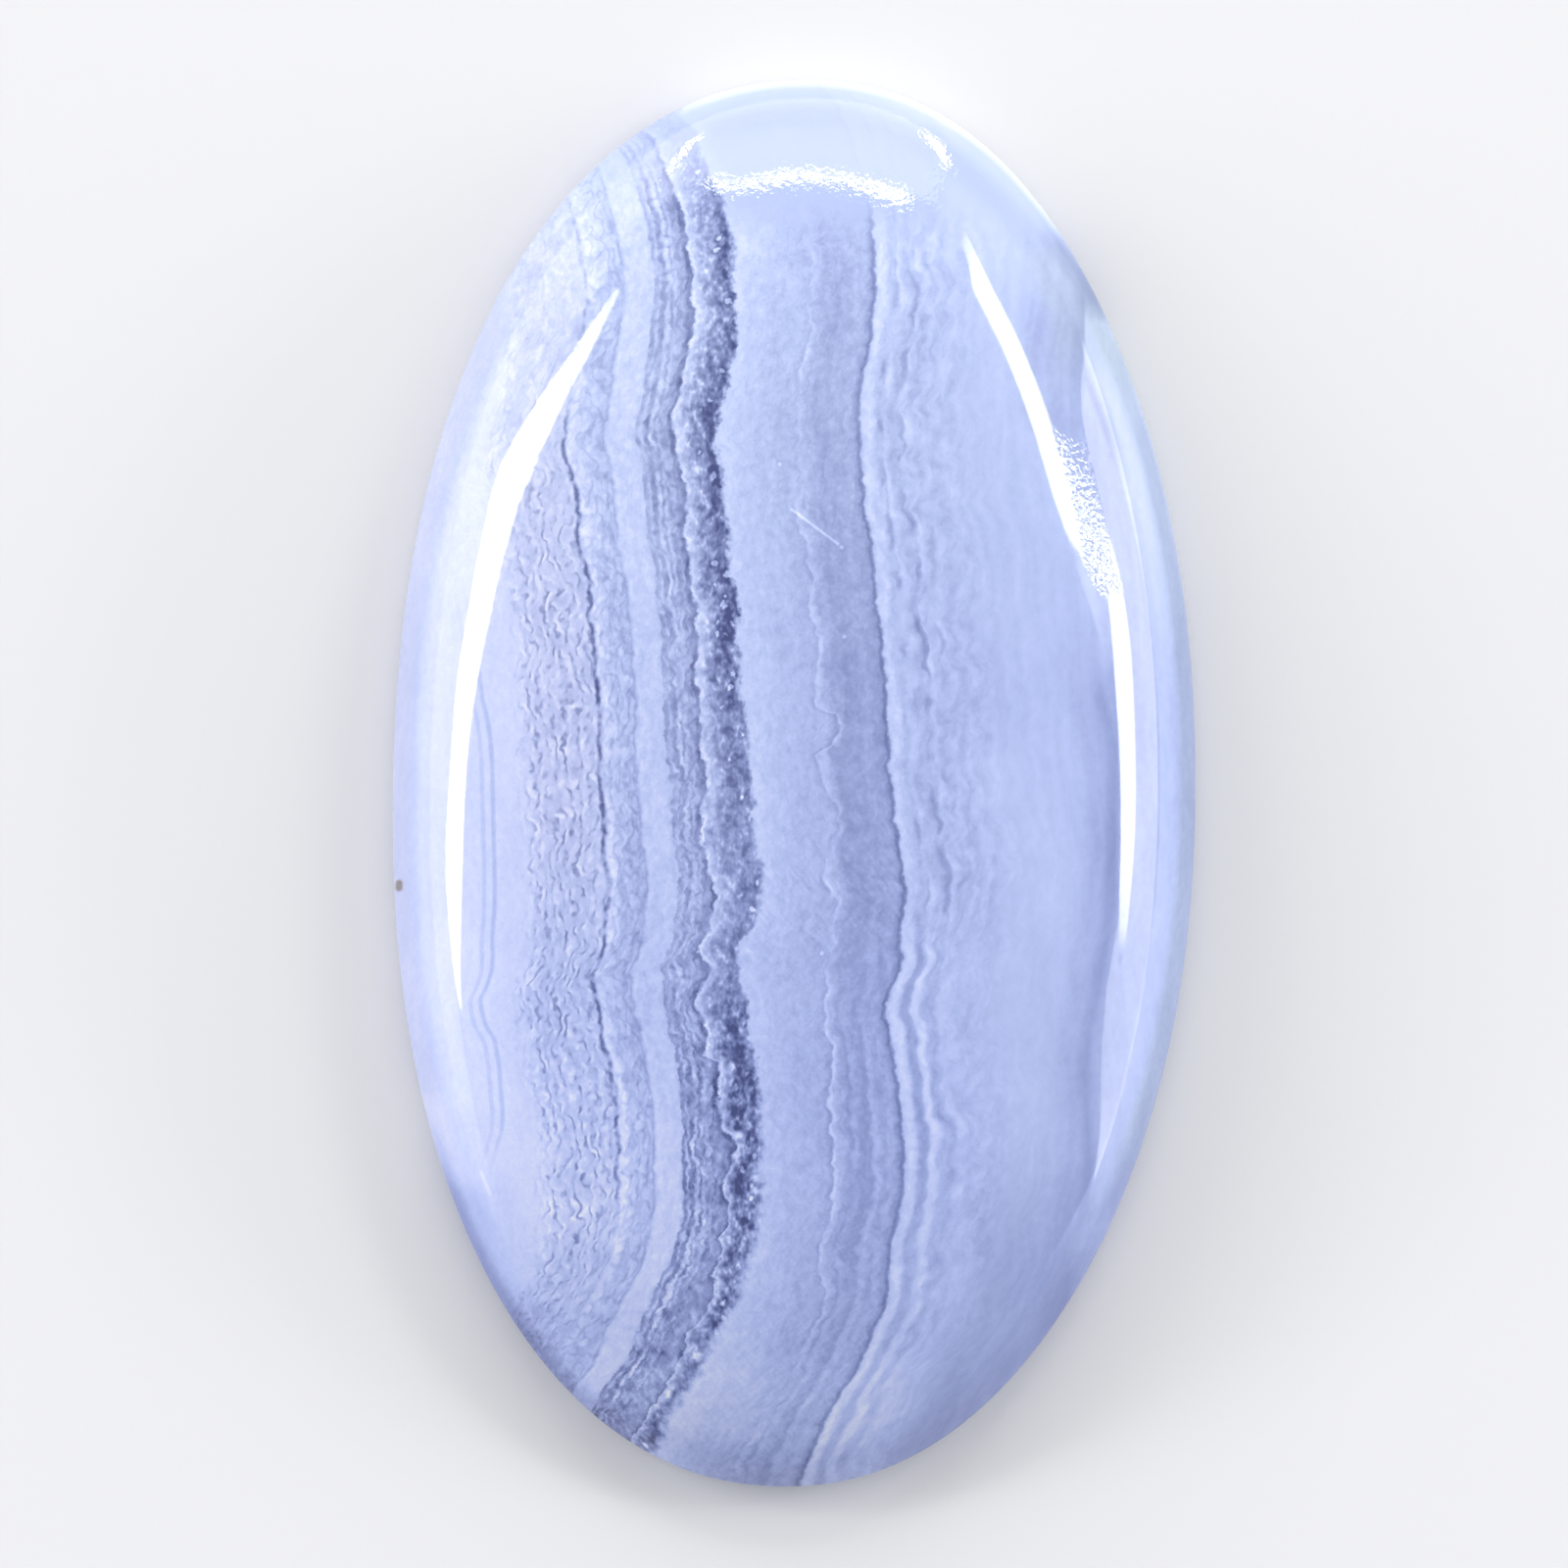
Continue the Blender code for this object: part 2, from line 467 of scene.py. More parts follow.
# %% [markdown]
# ## The courses of the bands
# The bands run up the stone side by side and bend together, so three courses are enough to place
# them all: the dark crystalline seam, the dark line left of it and the dark line right of it. A new
# coordinate, across, counts millimetres to the right of the seam, stretched so that each course
# stays at one value. All the kinks lie along a slanting line, so the second coordinate, along,
# slants too.

# %% Where a point lies in the stone
SLANT = 0.23
SEAM_X = -1.6
source = tree.nodes.new("ShaderNodeTexCoord")
to_mm = tree.nodes.new("ShaderNodeVectorMath")
to_mm.operation = "SCALE"
to_mm.inputs["Scale"].default_value = 1 / MM
tree.links.new(source.outputs["Object"], to_mm.inputs[0])
apart = tree.nodes.new("ShaderNodeSeparateXYZ")
tree.links.new(to_mm.outputs[0], apart.inputs[0])
x, y, z = (Field(output) for output in apart.outputs)
along = y - SLANT * (x - SEAM_X)

# %% The courses of the seam and of the two dark lines
LEFT_LINE = 4.8
RIGHT_LINE = 4.6
seam_x = follow(along, [
    (23.2, -4.2), (22.1, -3.5), (20.8, -3.1), (19.4, -2.7), (17.8, -2.4), (15.5, -2.3),
    (13.3, -2.5), (12.2, -2.7), (9.4, -2.55), (7.5, -2.2), (3.8, -1.8), (1.4, -1.55), (-1.8, -1.27),
    (-3.7, -1.1), (-5.0, -1.35), (-5.8, -1.7), (-7.1, -1.55), (-8.7, -1.28), (-10.3, -1.05),
    (-13.1, -1.0), (-15.0, -1.1), (-16.7, -1.55), (-18.2, -1.9), (-19.4, -2.75), (-20.4, -3.35),
    (-21.9, -4.35), (-24.2, -5.3)])
left_width = follow(along, [
    (19, 4.85), (17, 5.0), (14, 5.4), (12.5, 5.3), (11, 4.8), (8, 4.78), (4, 4.8), (0, 4.95),
    (-2, 4.95), (-4, 5.1), (-6, 4.85), (-7, 4.75), (-10, 4.7), (-13, 4.65), (-15, 4.85),
    (-16, 5.15), (-18, 5.9)])
right_width = follow(along, [
    (16, 4.65), (10, 4.6), (8, 4.5), (3, 4.55), (-1, 4.5), (-3.5, 4.65), (-5, 5.1), (-6, 5.3),
    (-8, 4.65), (-9.5, 4.45), (-11, 4.55), (-13.5, 4.85), (-16, 4.95), (-18, 5.25), (-20, 5.9)])
from_seam = x - seam_x
distance = calc("ABSOLUTE", from_seam)
on_right = calc("GREATER_THAN", from_seam, 0.0)
width = left_width + on_right * (right_width - left_width)
full_width = LEFT_LINE + on_right * (RIGHT_LINE - LEFT_LINE)
stretched = calc("MINIMUM", distance, width) / width * full_width
across = calc("SIGN", from_seam) * (stretched + calc("MAXIMUM", distance - width, 0.0))
print(f"courses: {len(tree.nodes)} nodes")

# %% [markdown]
# ## Bumps that every layer copies
# Real layers are never flat. Here they copy rounded knobs of two sizes, which give scallops with
# sharp cusps between them, and a fine jitter. Knobs and jitter shift the across coordinate, so every
# line that is drawn later bends with its neighbours, as it would in the stone. Three curves say how
# far each band is bent. The layer coordinate has knobs and jitter, and the calm one only knobs.
# High up on the left of the seam both are halved.

# %% Knobs
BIG_KNOBS = 0.9
SMALL_KNOBS = 0.4
big_cell, _ = cells(place(across * 0.3, along / 1.3, z * 0.3))
small_cell, _ = cells(place(across * 0.9, along / 0.42, z * 0.8))
big_share = follow(across, [
    (-9, 0.02), (-7.6, 0.3), (-4.8, 0.2), (-3.5, 0.15), (-2.5, 0.3), (-1.5, 0.45), (0, 0.5),
    (1.2, 0.3), (2.5, 0.5), (3.5, 0.3), (4.65, 0.15), (5.5, 0.4), (6.5, 0.8), (8, 0.8), (10, 0.1)])
small_share = follow(across, [
    (-9, 0.0), (-7.6, 0.6), (-4.8, 0.4), (-3.5, 0.4), (-2.2, 0.5), (-1.2, 0.85), (-0.5, 0.6),
    (0, 0.3), (1.2, 0.2), (2.5, 0.7), (4.65, 0.5), (5.5, 0.5), (7, 0.6), (9, 0)])
big_knobs = (0.2 - big_cell * big_cell * 0.9) * big_share * BIG_KNOBS
small_knobs = (0.15 - small_cell * small_cell * 0.6) * small_share * SMALL_KNOBS
knobs = big_knobs + small_knobs

# %% Jitter, and the two layer coordinates
JITTER = 0.1
jitter = noise(place(x / 0.3, y / 0.34, z / 0.34), detail=3.0, roughness=0.62)
jitter_share = follow(across, [
    (-9, 0.2), (-7.6, 0.8), (-4.8, 0.6), (-3.5, 0.6), (-2.2, 1.4), (-1, 1.3), (0, 1.9), (1, 0.5),
    (2.5, 0.9), (4.65, 0.8), (7, 0.7), (9, 0.2)])
upper_left = ramp_up(along, 3, 8) * ramp_up(across, -1.0, -1.8) * ramp_up(across, -3.6, -2.8)
bend_share = 1.0 - upper_left * 0.5
calm_layer = across - knobs * bend_share
layer = calm_layer - jitter * jitter_share * JITTER * bend_share
print(f"bumps: {len(tree.nodes)} nodes")

# %% [markdown]
# ## The bands left of the seam
# A tone is one number, from dark slate at 0.3 to white at 1. The soft bands come first, as one
# long curve for each side of the seam. Thin lines come after them, on curves of their own, because
# a curve is stored in 256 steps and a long one can't hold a line of a tenth of a millimetre. Lines
# in real agate are bold in some places and faint in others, so soft noises vary their strength.

# %% Soft bands on the left
tone_left = follow(layer, [
    (-12, 0.86), (-9.2, 0.855), (-7.6, 0.845), (-7.2, 0.825), (-6.7, 0.795), (-6.0, 0.785),
    (-5.3, 0.79), (-4.9, 0.785), (-4.6, 0.81), (-4.3, 0.78), (-3.9, 0.76), (-3.64, 0.74),
    (-3.5, 0.785), (-3.3, 0.81), (-2.9, 0.81), (-2.65, 0.80), (-2.4, 0.74), (-2.15, 0.71),
    (-1.9, 0.73), (-1.6, 0.67), (-1.35, 0.66)])

# %% Thin lines on the left
beads = noise(place(layer / 1.4, along / 0.55, z / 0.5), detail=1.5)
bold = ramp_up(beads, -0.55, 0.25)
dashes = ramp_up(noise(place(layer / 0.5, along / 0.45, z / 0.5), detail=1.5), -0.5, 0.3)
left_line_share = follow(along, [
    (19, 0.3), (14, 0.6), (11, 1), (-11, 1), (-13, 0.5), (-15, 0.1), (-18, 0)])
left_line = follow(layer + beads * 0.07, [
    (-5.02, 0), (-4.92, 0.03), (-4.87, -0.08), (-4.82, -0.34), (-4.76, -0.34), (-4.71, -0.08),
    (-4.65, 0.06), (-4.54, 0.05), (-4.4, 0)], straight=True)
left_line = left_line * (0.14 + dashes * 0.84) * left_line_share
lines_left = follow(layer, [
    (-3.64, 0), (-3.57, -0.05), (-3.50, 0.0), (-3.42, 0.02), (-3.3, 0), (-2.60, 0), (-2.52, -0.11),
    (-2.44, -0.05), (-2.36, 0.03), (-2.27, -0.07), (-2.18, -0.07), (-2.11, 0.05), (-2.04, 0.07),
    (-1.95, -0.07), (-1.86, 0.02), (-1.76, -0.05), (-1.66, -0.02), (-1.58, 0.04), (-1.48, -0.03),
    (-1.4, 0)], straight=True)
lines_left = lines_left * (0.35 + bold * 0.9) * (ramp_up(along, -7, -10) * 0.7 + 1.0)

# %% [markdown]
# ## The line beside the seam
# The seam's left wall is a sharp line, dark and then white, with a course of its own that wanders
# by almost a millimetre. It is drawn from the distance past that course. Low down it is narrower.

# %% The course and the profile of the line
edge_place = follow(along, [
    (20, -1.37), (18, -1.27), (16, -1.23), (14.6, -1.33), (13.3, -1.37), (11.3, -1.27), (10, -1.17),
    (8.5, -1.37), (6.5, -1.27), (4.6, -1.3), (2.8, -1.36), (1.7, -1.4), (0.2, -1.46), (-1.8, -1.62),
    (-2.7, -1.55), (-3.7, -1.38), (-4.5, -1.5), (-5.4, -1.3), (-6, -1.05), (-6.8, -1.4),
    (-7.9, -1.35), (-8.7, -1.65), (-9.3, -1.25), (-10.2, -1.35), (-11.5, -1.0), (-12.4, -0.78),
    (-13.4, -1.12), (-14.2, -0.95), (-15.7, -0.98), (-17, -0.75), (-18, -0.8), (-19.5, -0.65)])
past_edge = layer - edge_place
narrowing = ramp_up(along, -12, -15) * 0.7 + 1.0
edge_line = follow(past_edge * narrowing, [
    (-0.5, 0), (-0.25, -0.03), (-0.14, -0.13), (-0.06, -0.13), (0.0, 0.12), (0.06, 0.20),
    (0.13, 0.12), (0.26, 0.08), (0.40, 0.03), (0.55, 0.0)], straight=True) * (0.6 + bold * 0.5)
edge_line = edge_line * follow(along, [(-7, 1), (-10, 1.35), (-13, 1.3), (-16, 1)])

# %% [markdown]
# ## The bands right of the seam
# Right of the seam the bands are broad and even, and darken slowly towards the right line. In their
# middle one fine line runs the whole way down, on a course with sharp kinks. Low down a few more
# lines join it.

# %% Soft bands and the right line
tone_right = follow(layer, [
    (0, 0.79), (0.15, 0.81), (0.4, 0.795), (0.8, 0.775), (1.2, 0.755), (1.7, 0.74), (2.2, 0.725),
    (2.5, 0.73), (2.75, 0.705), (3.1, 0.67), (3.5, 0.66), (3.9, 0.68), (4.3, 0.68), (4.55, 0.655)])
ragged = layer + beads * 0.03
right_line = follow(ragged, [
    (4.35, 0), (4.50, -0.05), (4.58, -0.14), (4.64, -0.08), (4.70, 0.10), (4.80, 0.12), (5.0, 0.05),
    (5.2, 0)], straight=True)

# %% The fine line right of the middle
fine_place = follow(along, [
    (18, 2.5), (14.4, 2.6), (13.8, 2.45), (12, 2.6), (9.5, 2.55), (8.4, 2.4), (6.5, 2.67),
    (5.6, 2.45), (3.4, 2.5), (2.3, 2.3), (1.7, 2.75), (1.1, 3.05), (0.6, 2.7), (0.25, 2.3),
    (-0.8, 2.5), (-1.8, 2.77), (-3.0, 2.4), (-3.9, 2.2), (-4.6, 2.5), (-6.8, 2.6), (-9.2, 2.55),
    (-11.8, 2.4), (-15.7, 2.5), (-18.4, 2.75)])
fine_line = follow(layer - fine_place, [
    (-0.25, 0), (-0.12, -0.03), (-0.05, -0.05), (0, 0.04), (0.06, 0.07), (0.13, 0.03),
    (0.3, 0)], straight=True)
fine_bold = follow(along, [
    (18, 0.3), (14.6, 0.5), (13.8, 1), (12.5, 0.4), (9.5, 0.4), (8.4, 0.8), (5.6, 0.9), (3, 0.8),
    (1.2, 1.3), (0, 0.8), (-2, 0.8), (-3.2, 0.4), (-4, 1.2), (-5, 0.6), (-7, 1), (-9, 1.4),
    (-15, 1.5), (-18, 1.2), (-20, 0.5)])
fine_bold = fine_bold * (0.5 + bold * 0.6)
low_lines = follow(layer, [
    (2.9, 0), (3.02, -0.03), (3.1, 0.02), (3.2, 0.03), (3.3, 0), (3.62, -0.03), (3.72, 0.03),
    (3.82, 0.04), (3.95, 0), (4.1, 0), (4.18, 0.02), (4.3, 0)], straight=True)
low_lines = low_lines * ramp_up(along, -7.5, -10.5)

# %% [markdown]
# ## The bands at the far right
# Beyond the right line the layers are folded. Low down the folds are calm and regular, so they copy
# the knobs alone and little jitter. Higher up the same folds are torn to patches. Farther out the
# stone is smooth and pale, and a soft painted shade runs along the inner side of the right streak,
# following the streak's course, with the stone past it painted a little darker.

# %% Calm folds and torn ones
ridges_low = ramp_up(along, -5.0, -8.0)
calm = across - knobs + noise(place(across / 2.5, along / 1.3, z / 1.5)) * 0.09 + jitter * 0.02
folds = follow(calm, [
    (4.6, 0), (4.75, 0.01), (4.87, 0.02), (5.0, 0.01), (5.12, -0.06), (5.25, -0.10), (5.4, -0.08),
    (5.52, 0.03), (5.67, 0.09), (5.82, 0.05), (6.0, -0.03), (6.2, -0.04), (6.45, 0.03),
    (6.8, 0.0)])
folds = folds * follow(along, [(-5, 0), (-6.5, 0.5), (-8, 1), (-12, 1), (-16, 0.65)])
torn = follow(layer + jitter * 0.08, [
    (4.9, 0), (5.08, 0.03), (5.2, 0.0), (5.28, -0.07), (5.36, -0.09), (5.46, 0.04), (5.54, 0.06),
    (5.7, 0.02), (5.84, -0.03), (5.95, -0.11), (6.06, -0.10), (6.17, 0.05), (6.3, 0.06),
    (6.45, 0.02), (6.6, -0.03), (6.75, 0.02), (7.1, 0)], straight=True)
patches = noise(place(layer / 0.5, along / 1.2, z / 1.5), detail=1.2)
torn_share = ramp_up(patches, -0.15, 0.4) * (1.1 - ridges_low)

# %% Smooth stone and the painted shade beside the streak
tone_far = follow(layer, [
    (4.62, 0), (4.8, 0.04), (5.2, 0.095), (5.9, 0.08), (6.5, 0.085), (7.5, 0.09), (8.3, 0.095),
    (9.0, 0.10), (10, 0.10)])
side_x = follow(y, [
    (12, 7.5), (9.3, 8.67), (6.7, 9.37), (3.4, 10.16), (0.2, 10.76), (-3.1, 10.76), (-6.4, 10.36),
    (-9.7, 9.94), (-13.1, 10.2), (-16, 9.6)])
side_share = follow(y, [
    (8, 0), (6, 0.1), (4.4, 0.35), (3, 0.8), (1.5, 1.15), (0, 1.4), (-3, 1.45), (-6.4, 1.1),
    (-9.7, 0.95), (-13, 1), (-16, 0.5)])
# Painted shade: a soft dark zone along the inner side of the right streak, and a little darker past
# it.
painted_side_shade = follow(x - side_x, [
    (-2.4, 0), (-1.4, -0.015), (-1.0, -0.045), (-0.6, -0.065), (-0.35, -0.075), (-0.1, -0.095),
    (0.1, -0.06), (0.4, -0.01), (0.7, 0)])
side_shift = ramp_up(y, 3, 5) * ramp_up(y, 13, 11) * 0.8
past_side = ramp_up(x - side_x - side_shift, -0.5, 0.3)
past_side = past_side * follow(y, [
    (-15, 0), (-12, 1), (12, 1), (13.2, 0.68), (14, 0.7), (15, 0.85), (16, 0.75), (18, 0.3)])
painted_side_shade = painted_side_shade * side_share - past_side * 0.07

# %% [markdown]
# ## Two fine lines near the left edge
# In the smooth pale stone near the left edge two fine lines run side by side, and fade at both
# ends. One curve draws the pair, because they keep their distance all the way.

# %% The pair of lines
left_edge_place = follow(along, [
    (10, -8.9), (7, -8.82), (5.2, -8.7), (1.8, -8.45), (0, -8.5), (-1.6, -8.57), (-3.2, -8.68),
    (-4.3, -8.62), (-6.1, -8.6), (-7.2, -8.4), (-8.2, -8.46), (-9.5, -8.6), (-10.5, -8.88),
    (-11.3, -9.18)])
left_edge_lines = follow(across - left_edge_place, [
    (-0.44, 0), (-0.38, -0.65), (-0.29, -0.65), (-0.23, 0), (-0.09, 0), (-0.02, -1), (0.06, -1),
    (0.13, 0)], straight=True)
left_edge_share = follow(along, [
    (9, 0), (6, 0.7), (4, 1), (-8.5, 1), (-10.0, 0.8), (-10.9, 0.3), (-11.6, 0)]) * 0.085
print(f"bands: {len(tree.nodes)} nodes")

# %% [markdown]
# ## The crystalline seam
# The last gap between the two walls was filled by small quartz crystals, which are clear and look
# dark. Here and there a facet or a fleck of pale stone catches the light. The dark share is deepest
# towards the seam's right side, and flecks are cells of which only some are picked.

# %% How dark the seam is
seam_blur = ramp_up(along, -9, -14) * 0.18 + 0.12
in_left = ramp_up(layer, seam_blur, 0 - seam_blur)
seam_share = past_edge / (0 - edge_place)
seam_depth = follow(along, [
    (23.5, 0.05), (22.3, 0.1), (21.3, 0.35), (20, 0.9), (18, 1.2), (13, 1.22), (11, 1), (8, 0.9),
    (6.5, 1.15), (3.5, 0.93), (1.5, 0.5), (-1.5, 0.4), (-3.5, 0.4), (-6, 0.5), (-7.5, 0.8),
    (-9, 1.0), (-12, 1.0), (-14, 0.85), (-17, 0.65), (-19.5, 0.75), (-21, 1.2)])
seam_start = follow(along, [
    (21, 0.22), (17, 0.2), (13, 0.1), (9, 0), (2, -0.05), (-6, -0.1), (-8, -0.2), (-10, -0.3),
    (-14, -0.3), (-17, -0.1), (-21, 0)])
seam_dark = follow(seam_share - seam_start, [
    (0.2, 0), (0.36, 0.2), (0.5, 0.4), (0.62, 0.7), (0.74, 1), (0.88, 1.05), (1.0, 0.7)])

# %% Crystals, glints and flecks
crystal = noise(place(x / 0.2, y / 0.3, z / 0.22), detail=1.2, roughness=0.55)
lump = noise(place(x / 0.42, y / 0.75, z / 0.6), detail=1.0)
glints = follow(crystal, [
    (-0.8, -1.6), (-0.4, -1.2), (-0.15, -0.4), (0.05, 0.1), (0.25, 0.5), (0.4, 1.2), (0.6, 2.4),
    (0.8, 3)], straight=True)
glint_share = ramp_up(seam_share, 0.0, 0.35) * follow(along, [
    (22, 0.03), (20, 0.07), (4, 0.08), (1, 0.07), (-6, 0.065), (-9, 0.09), (-15, 0.085),
    (-18, 0.05)])
fleck_reach, fleck_pick = cells(place(x / 0.35 + jitter * 0.4, y / 0.46 + lump * 0.4, z / 0.4))
fleck_place = (fleck_reach + crystal * 0.13) * (1.9 - fleck_pick)
fleck_density = follow(along, [
    (23, 0.2), (17, 0.4), (12, 0.4), (8, 0.45), (7, 0.7), (3.5, 0.65), (1, 0.4), (-3, 0.4),
    (-7, 0.35), (-10, 0.45), (-14, 0.4), (-17, 0.3), (-19.5, 0.1)])
fleck_profile = follow(fleck_place, [
    (0, 1), (0.17, 1), (0.28, 0.2), (0.42, -0.25), (0.6, -0.2), (0.8, 0)])
flecks = fleck_profile * ramp_up(fleck_pick + fleck_density, 0.95, 1.05)
flecks = flecks * ramp_up(seam_share, 0.2, 0.5) * 0.3
seam_tone = seam_dark * seam_depth * (lump * 0.18 - 0.19) + flecks + glints * glint_share

# %% [markdown]
# ## Lace
# The lace is a mesh of fine upright threads: dark strokes of uneven strength, each with a pale edge
# beside it. The threads are drawn as height lines are drawn on a map, one for each step of a field
# that climbs across the bands. Noises make the lines wave and tie some of them into loops. Between
# the threads lie small scales, drawn from the level lines of one more noise.

# %% Threads
THREAD_APART = 0.35
wander = noise(place(across / 1.3, along / 1.7, z / 1.7), detail=1.0)
weave = noise(place(across / 0.4, along / 0.45, z / 0.5), detail=1.0)
climb = calc("FRACT", calm_layer * (1 / THREAD_APART) + wander * 1.0 + weave * 0.62)
thread = follow(climb, [
    (0, 0), (0.06, -0.3), (0.14, -0.85), (0.25, -1), (0.36, -0.8), (0.48, 0.0), (0.62, 0.45),
    (0.78, 0.35), (1, 0)])
stroke = ramp_up(noise(place(x / 0.26, y / 0.36, z / 0.4), detail=1.0), -0.25, 0.5)
lace_share = follow(layer, [
    (-7.8, 0), (-7.3, 0.3), (-6.9, 0.8), (-6.6, 0.5), (-6.3, 0.8), (-6.0, 1), (-5.75, 0.7),
    (-5.5, 0.8), (-5.2, 0.6), (-5.0, 0.6), (-4.85, 0.4), (-4.6, 0.25), (-3.7, 0.25), (-3.5, 0.05),
    (-2.6, 0.08), (-2.45, 0.3), (-2.1, 0.3), (-1.5, 0.3), (-1.2, 0.15), (-0.8, 0.05), (-0.3, 0)])
lace_along = follow(along, [
    (20, 0.15), (16, 0.25), (13, 0.45), (10, 0.75), (6, 1), (-7, 1), (-9, 1.15), (-13, 1.15),
    (-15, 0.8), (-18, 0.5)])
threads = thread * (0.16 + stroke) * lace_share * lace_along * 0.2

# %% Scales
scale_field = noise(place(layer / 0.42 + wander * 0.4, along / 0.75, z / 0.8), detail=1.0)
scales = follow(scale_field, [
    (-0.8, 0.1), (-0.4, 0.35), (-0.2, 0.0), (-0.08, -0.9), (0.06, -0.9), (0.18, 0.0), (0.36, 0.5),
    (0.8, 0.1)])
scale_share = follow(layer, [
    (-4.7, 0), (-4.5, 0.05), (-3.7, 0.05), (-3.5, 0.01), (-2.6, 0.01), (-2.3, 0.05), (-1.5, 0.05),
    (-1.2, 0.0), (0, 0), (0.2, 0.01), (2.4, 0.015), (4.4, 0.015), (4.8, 0.02), (5.2, 0.012),
    (7.5, 0.012), (8.5, 0)])
lace = threads + scales * scale_share
print(f"lace: {len(tree.nodes)} nodes")

# %% [markdown]
# ## Mottling and grain
# No band is even. Mottling follows the layers, streaks run along them, clouds ignore them, and the
# ridges right of the right line swell and fade. The finest grain is the stone's own fibre. Each is a
# noise, or for the ridges a wave bent by a noise, with a curve for its strength in each band.

# %% Mottling and lumps
mottle = noise(place(layer / 0.24, along / 0.36, z / 0.34), detail=2.5, roughness=0.62)
mottle_share = follow(layer, [
    (-10, 0.025), (-7.6, 0.035), (-7.2, 0.065), (-5.2, 0.08), (-4.7, 0.06), (-4.4, 0.07),
    (-3.6, 0.08), (-3.4, 0.07), (-2.6, 0.065), (-2.45, 0.09), (-1.5, 0.09), (-1.2, 0.07),
    (-0.6, 0.05), (-0.05, 0.05), (0.1, 0.055), (2.3, 0.055), (2.6, 0.065), (4.5, 0.06), (4.8, 0.05),
    (7.5, 0.045), (8.5, 0.025), (12, 0.02)], straight=True)
lumps = noise(place(layer / 0.45, along / 0.7, z / 0.7), detail=1.0)
lump_share = follow(layer, [
    (-7.6, 0), (-7.2, 0.04), (-5, 0.04), (-4.6, 0.035), (-3.6, 0.035), (-3.4, 0), (-2.6, 0.01),
    (-2.3, 0.04), (-1.2, 0.04), (-0.8, 0), (4.7, 0), (5.1, 0.03), (5.6, 0.03), (6.1, 0.06),
    (6.6, 0.045), (7.6, 0.03), (8.5, 0.006)], straight=True)

# %% Ridges, streaks, clouds and grain
RIDGES_APART = 0.66
ridge_warp = noise(place(layer / 0.9, along / 1.5, z / 1.6), detail=1.5)
ridges = calc("SINE", layer * (math.tau / RIDGES_APART) + ridge_warp * 2.8)
ridge_share = follow(layer, [
    (4.9, 0), (5.2, 0.02), (6.5, 0.02), (7.5, 0.015), (9, 0.008),
    (12, 0.004)]) * (1.0 - ridges_low)
streaks = noise(place(layer / 0.28, along / 4.0, z / 3), detail=1.5)
streak_share = follow(layer, [
    (-9, 0.012), (-0.1, 0.0), (0.1, 0.018), (2.4, 0.024), (3, 0.034), (4.5, 0.034), (5, 0.02),
    (8, 0.018), (10, 0.02)])
clouds = noise(place(x / 1.4, y / 2.2, z / 2.2), detail=2.5) * 0.02
grain_share = follow(layer, [
    (-10, 0.012), (-7, 0.02), (0, 0.02), (5.5, 0.018), (8, 0.005), (12, 0.004)])
grain = noise(place(x / 0.08, y / 0.1, z / 0.1), detail=1.0) * grain_share
texture = mottle * mottle_share + ridges * ridge_share + streaks * streak_share
texture = texture + clouds + grain + lumps * lump_share

# %% [markdown]
# ## The strained zone
# A little below the middle, and again near the lower end, the rock was strained after the layers
# had grown. It left fine slanting fibres across the bands between the two dark lines. They are a
# noise stretched along a line of its own, so x and y are turned first.

# %% Slanting fibres
STRAIN_TURN = math.radians(38)
strain_across = x * math.cos(STRAIN_TURN) + y * math.sin(STRAIN_TURN)
strain_along = x * math.sin(STRAIN_TURN) - y * math.cos(STRAIN_TURN)
strain = noise(place(strain_across / 0.13, strain_along / 0.55, z / 0.3), detail=1.0)
strain_share = follow(along, [
    (-1.5, 0), (-3.2, 0.6), (-4.2, 1), (-5.6, 1), (-7, 0.2), (-8.5, 0.25), (-16, 0.5), (-21, 0.6)])
strain_band = follow(layer, [
    (-3.6, 0), (-2.6, 0.3), (-2.3, 1), (-1, 1.2), (-0.1, 1), (0.3, 0.8), (4.4, 0.8), (4.7, 0.2),
    (6, 0)])
strained = strain * strain_share * strain_band * 0.05
print(f"texture: {len(tree.nodes)} nodes")

# %% [markdown]
# ## Marks
# A used stone has a few marks: two fine scratches, some pale specks and a small brown stain at the
# left edge. A speck is all that lies near one point, and a scratch all that lies near a short line
# between two points, both seen from above. The stain's share is squared, which softens its rim.

# %% Scratches and specks
SHARP_SHARE = 0.3
seen_from_above = place(x, y, 0.0)


def vector_node(operation, first, second):
    """A Vector Math node with two inputs, each a field or a fixed point."""
    node = tree.nodes.new("ShaderNodeVectorMath")
    node.operation = operation
    feed(node.inputs[0], first)
    feed(node.inputs[1], second)
    return node


def spot(centre, half_width):
    """Goes from 1 at a point, seen from above, to 0 at half_width from it."""
    reach = vector_node("DISTANCE", seen_from_above, (*centre, 0))
    return ramp_up(Field(reach.outputs["Value"]), half_width, half_width * SHARP_SHARE)


def scratch(start, end, half_width):
    """Goes from 1 on the line between two points, seen from above, to 0 at half_width from it."""
    course = Vector((*end, 0)) - Vector((*start, 0))
    from_start = Field(vector_node("SUBTRACT", seen_from_above, (*start, 0)).outputs["Vector"])
    share = vector_node("DOT_PRODUCT", from_start, course / course.length_squared)
    share = calc("MINIMUM", calc("MAXIMUM", Field(share.outputs["Value"]), 0.0), 1.0)
    nearest = place(share * course.x, share * course.y, 0.0)
    reach = vector_node("DISTANCE", from_start, nearest)
    return ramp_up(Field(reach.outputs["Value"]), half_width, half_width * SHARP_SHARE)


